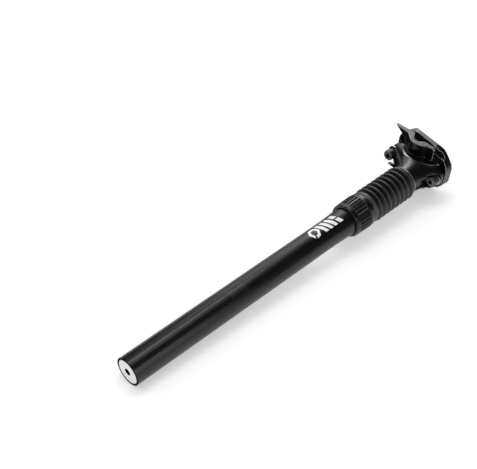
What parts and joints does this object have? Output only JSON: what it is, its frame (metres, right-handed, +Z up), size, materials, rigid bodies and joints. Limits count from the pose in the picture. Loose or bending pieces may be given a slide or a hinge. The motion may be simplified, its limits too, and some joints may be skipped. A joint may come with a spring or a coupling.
{
  "type": "suspension seatpost",
  "caption": "Telescoping bicycle seatpost with a coil spring inside, a rubber boot, a fluted collar and a two-screw clamp for the saddle rails.",
  "frame": {"origin": "centre of the tube's lower end face, on the post's axis", "axes": "+Z up the post toward the saddle, +X toward the front of the bicycle, +Y toward its left"},
  "size_m": [0.0714, 0.056, 0.412],
  "materials": {
    "anodised": "satin black anodised",
    "collar": "satin black anodised, fluted",
    "forged": "black anodised forging, semi-gloss",
    "clamp_black": "black anodised, semi-gloss, bright worn edges",
    "plastic": "white moulded",
    "rubber": "matte black moulded rubber",
    "elastomer": "amber urethane",
    "polymer": "grey acetal",
    "steel": "ground steel",
    "bright_ring": "turned bright edge",
    "spring_steel": "oiled spring steel",
    "black_steel": "black oxide steel with bright edges"
  },
  "bodies": {
    "post": {"outer_tube": "anodised", "upper_bushing": "polymer", "key_a": "steel", "key_b": "steel", "key_c": "steel", "wiper_seal": "rubber", "collar_nut": "collar"},
    "preload_carrier": {"spring_seat": "steel"},
    "preload_screw": {"preload_plug": "plastic"},
    "slider": {"stanchion": "steel", "guide_bushing": "polymer", "spring_guide": "polymer", "bump_rubber": "elastomer", "boot_ring": "bright_ring", "head": "forged", "washer_front": "steel", "washer_rear": "steel", "boot": "rubber", "coil_spring": "spring_steel"},
    "screw_front": {"clamp_screw_front": "black_steel"},
    "screw_rear": {"clamp_screw_rear": "black_steel"},
    "cradle": {"lower_cradle": "clamp_black"},
    "clamp": {"upper_clamp": "clamp_black"},
    "barrel_front": {"barrel_nut_front": "black_steel"},
    "barrel_rear": {"barrel_nut_rear": "black_steel"}
  },
  "joints": [
    {"name": "suspension", "type": "slide", "parent": "post", "child": "slider", "axis": [0, 0, 1], "range_m": [-0.04, 0], "stiffness_N_per_m": 12000, "springref_m": 0.01, "deforming": ["boot", "coil_spring"]},
    {"name": "preload_turn", "type": "hinge", "parent": "preload_carrier", "child": "preload_screw", "pos_m": [0, 0, 0], "axis": [0, 0, 1], "range_deg": [-1, 1441]},
    {"name": "preload_travel", "type": "slide", "parent": "post", "child": "preload_carrier", "axis": [0, 0, 1], "range_m": [0, 0.008]},
    {"name": "cradle_tilt", "type": "hinge", "parent": "slider", "child": "cradle", "pos_m": [-0.0082, 0, 0.402], "axis": [0, 1, 0], "range_deg": [-5, 2]},
    {"name": "clamp_lift", "type": "slide", "parent": "cradle", "child": "clamp", "axis": [0, 0, 1], "range_m": [0, 0.0025]},
    {"name": "barrel_front_pitch", "type": "hinge", "parent": "clamp", "child": "barrel_front", "pos_m": [0.01883, 0, 0.40087], "axis": [0, 1, 0], "range_deg": [-2.5, 5.5]},
    {"name": "barrel_rear_pitch", "type": "hinge", "parent": "clamp", "child": "barrel_rear", "pos_m": [-0.03523, 0, 0.40703], "axis": [0, 1, 0], "range_deg": [-2.5, 5.5]},
    {"name": "screw_front_turn", "type": "hinge", "parent": "slider", "child": "screw_front", "pos_m": [0.019, 0, 0.4], "axis": [0, 0, 1], "range_deg": [-901, 1]},
    {"name": "screw_rear_turn", "type": "hinge", "parent": "slider", "child": "screw_rear", "pos_m": [-0.0354, 0, 0.4], "axis": [0, 0, 1], "range_deg": [-901, 1]}
  ],
  "couplings": [
    {"joint": "preload_turn", "follows": "preload_travel", "rad_per_m": 3141.6},
    {"joint": "barrel_front_pitch", "follows": "cradle_tilt", "ratio": -1},
    {"joint": "barrel_rear_pitch", "follows": "cradle_tilt", "ratio": -1},
    {"joint": "screw_front_turn", "follows": "clamp_lift", "rad_per_m": -6283.2},
    {"joint": "screw_rear_turn", "follows": "clamp_lift", "rad_per_m": -6283.2}
  ]
}
